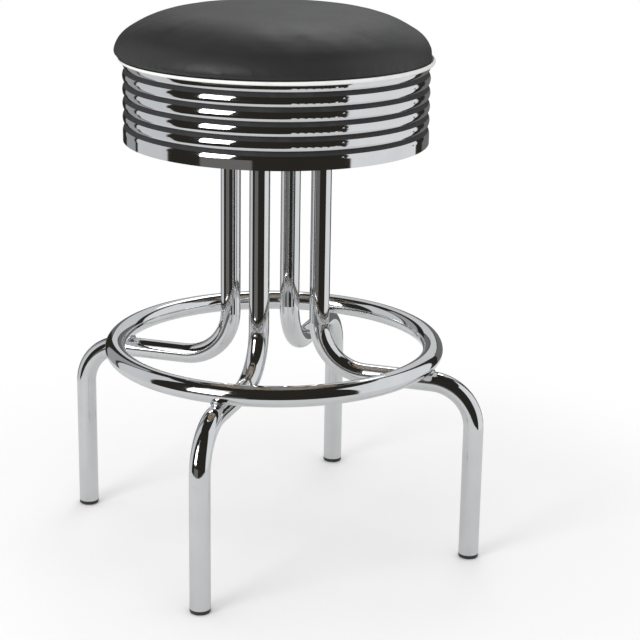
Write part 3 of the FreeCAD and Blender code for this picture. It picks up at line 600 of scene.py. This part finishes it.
def make_welt():
    """The piping: a cord that the cushion presses on, its sewn edge, and its joint at the back."""
    low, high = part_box("welt")
    middle = (high.x - CORD_RADIUS, low.z + CORD_RADIUS)
    outline = arc(middle, CORD_RADIUS, -90, 255, 15)
    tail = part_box("seat_band")[1].x - WELT_TAIL
    outline += [(tail + across, low.z + rise) for across, rise in TAIL_TIP]
    welt = lathe("seat_welt", outline[::-1], WELT_SIDES, closed=True)
    tuck = (CUSHION_REACH - TUCK_ROUND, CUSHION_WAIST)
    clear = TUCK_ROUND + SOFT_GAP
    for point in welt.data.vertices:
        angle = math.atan2(point.co.y, point.co.x)
        radius = math.hypot(point.co.x, point.co.y)
        height = point.co.z
        outward = Vector((math.cos(angle), math.sin(angle), 0))
        lean = full_side_move(height).dot(outward)
        across, rise = radius - tuck[0] - lean, height - tuck[1]
        distance = math.hypot(across, rise)
        if distance < clear and radius > tail + TAIL_FLAT:
            radius = tuck[0] + lean + across * clear / distance
            height = max(low.z, tuck[1] + rise * clear / distance)
        if radius > middle[0] - CORD_RADIUS:
            wobble = WOBBLE * noise.noise(Vector((angle * WOBBLE_COUNT, WOBBLE_ROW, 0.0)))
            aside = (angle - JOINT_TURN) * radius
            pinch = JOINT_DEPTH * math.exp(-(aside / JOINT_WIDTH) ** 2)
            radius += wobble - pinch
        point.co = outward * radius + Vector((0, 0, height))
    finish_piece(welt, "white_vinyl", "seat", "welt")


def add_light(name, direction, distance, size, power):
    """A soft rectangular lamp that looks at the seat from a direction of the studio."""
    lamp = bpy.data.lights.new(name, "AREA")
    lamp.shape = "RECTANGLE"
    lamp.size, lamp.size_y = size
    lamp.energy = power
    light = bpy.data.objects.new(name, lamp)
    scene.collection.objects.link(light)
    azimuth, elevation = (math.radians(angle) for angle in direction)
    turn = camera_azimuth() + azimuth
    outward = Vector((math.cos(elevation) * math.cos(turn), math.cos(elevation) * math.sin(turn),
                      math.sin(elevation)))
    light.location = Vector((0, 0, ROOM_HEIGHT)) + outward * distance
    light.rotation_euler = outward.to_track_quat("Z", "Y").to_euler()
    light.visible_camera = False


def camera_azimuth():
    """The direction of the camera from the stool's axis, counterclockwise from +X."""
    return math.atan2(CAMERA_PLACE.y, CAMERA_PLACE.x)


def make_camera():
    lens = bpy.data.cameras.new("photo_camera")
    lens.sensor_fit = "HORIZONTAL"
    lens.sensor_width = SENSOR_WIDTH
    lens.lens = FOCAL_PIXELS / PHOTO_SIDE * SENSOR_WIDTH
    camera = bpy.data.objects.new("photo_camera", lens)
    scene.collection.objects.link(camera)
    camera.matrix_world = (
        Matrix.Translation(CAMERA_PLACE) @ Matrix.Rotation(CAMERA_TURN, 4, "Z")
        @ Matrix.Rotation(math.pi / 2 - CAMERA_PITCH, 4, "X") @ Matrix.Rotation(CAMERA_ROLL, 4, "Z"))
    scene.camera = camera


def seen_share(shading):
    """1 for what the camera, a metal or a glass shows, and 0 for what lights the object."""
    path = shading.add("LightPath").outputs
    return shading.math("MAXIMUM", path["Is Camera Ray"], shading.math(
        "MAXIMUM", path["Is Glossy Ray"], path["Is Transmission Ray"]))


def mirrored_level(shading):
    """The white that the camera sees, and a weaker one for what a metal shows."""
    glossy = shading.add("LightPath").outputs["Is Glossy Ray"]
    return shading.span(glossy, 0, 1, 1.0, MIRRORED_WHITE)


def make_world():
    """An even white world. What it lights the stool with, and what polished metal shows of it, is
    a little weaker than the white that the camera sees."""
    world = bpy.data.worlds.new("studio")
    scene.world = world
    world.use_nodes = True
    world.cycles.sampling_method = "NONE"
    shading = Shading(world.node_tree)
    level = shading.span(seen_share(shading), 0, 1, WORLD_LEVEL, mirrored_level(shading))
    background = shading.fill(shading.add("Background"), Color=(1, 1, 1), Strength=level)
    output = shading.add("OutputWorld")
    shading.feed(output.inputs["Surface"], background.outputs[0])


def make_floor():
    """A round sheet of white paper, which fades to white away from the stool. Polished metal shows
    it a little darker."""
    floor = lathe("floor_sheet", [(0.0, 0.0), (FLOOR_REACH, 0.0)], FLOOR_SIDES)
    floor.location.z = -FLOOR_DROP
    material, shading, shader = new_material("floor_paper")
    place = shading.add("TexCoord").outputs["Object"]
    distance = shading.add("VectorMath", operation="LENGTH")
    shading.feed(distance.inputs[0], place)
    fade = shading.span(distance.outputs["Value"], *FLOOR_FADE, 0, 1, "SMOOTHSTEP")
    white = shading.fill(shading.add("Emission"), Color=(1, 1, 1), Strength=mirrored_level(shading))
    fibre = shading.noise(place, 300, 4)
    tone = shading.math("MULTIPLY", mirrored_level(shading), FLOOR_TONE)
    shading.fill(shader, Base_Color=tone, Roughness=0.9, Normal=shading.bump(fibre, 0.00005, 0.3))
    shader.inputs["Specular IOR Level"].default_value = 0.1
    blend = shading.add("MixShader")
    shading.feed(blend.inputs[0], shading.math("MULTIPLY", fade, seen_share(shading)))
    shading.feed(blend.inputs[1], shader.outputs[0])
    shading.feed(blend.inputs[2], white.outputs[0])
    show(material, shading, blend.outputs[0])
    floor.data.materials.append(material)
    return floor


def make_painted_reflections():
    """Painted reflections of the room round the paper: a glowing shell, dark with lighter panels, that
    polished metal and gloss show but the camera, diffuse light and shadows do not.
    """
    turns = [math.radians(turn) for turn in range(ROOM_STEP - 92, 90, ROOM_STEP)]
    outline = [(ROOM_REACH * math.cos(turn), ROOM_REACH * math.sin(turn)) for turn in turns]
    room = lathe("painted_reflection_room", [(0.0, -ROOM_REACH), *outline, (0.0, ROOM_REACH)], ROOM_SIDES)
    room.location.z = ROOM_HEIGHT
    room.rotation_euler.z = camera_azimuth() + math.pi / 2
    material, shading, _ = new_material("painted_reflection_walls")
    point = shading.add("SeparateXYZ")
    shading.feed(point.inputs[0], shading.add("TexCoord").outputs["Object"])
    x, y, z = point.outputs
    azimuth = shading.math("DEGREES", shading.math("ARCTAN2", x, shading.math("MULTIPLY", y, -1.0)))
    level = shading.math("SQRT", shading.math(
        "ADD", shading.math("MULTIPLY", x, x), shading.math("MULTIPLY", y, y)))
    elevation = shading.math("DEGREES", shading.math("ARCTAN2", z, level))
    color = PAINTED_REFLECTION_DARK
    for sideways, upward, tone in PAINTED_REFLECTION_PANELS:
        share = 1.0
        for angle, (low, high) in ((azimuth, sideways), (elevation, upward)):
            rising = shading.span(angle, low, low + PANEL_EDGE, 0, 1, "SMOOTHSTEP")
            falling = shading.span(angle, high - PANEL_EDGE, high, 1, 0, "SMOOTHSTEP")
            share = shading.math("MULTIPLY", shading.math("MULTIPLY", rising, falling), share)
        color = shading.mix(share, color, tone)
    # Painted reflections: the shell glows in these tones, though it is no lamp.
    glow = shading.fill(shading.add("Emission"), Color=color, Strength=1.0)
    show(material, shading, glow.outputs[0])
    room.data.materials.append(material)
    room.visible_camera = False
    room.visible_diffuse = False
    room.visible_shadow = False
    return room


make_camera()
dress_nodes()
make_cushion()
make_welt()
make_world()
add_light("key_light", KEY_DIRECTION, KEY_DISTANCE, KEY_SIZE, KEY_POWER)
add_light("crown_light", CROWN_DIRECTION, CROWN_DISTANCE, CROWN_SIZE, CROWN_POWER)
make_floor()
make_painted_reflections()
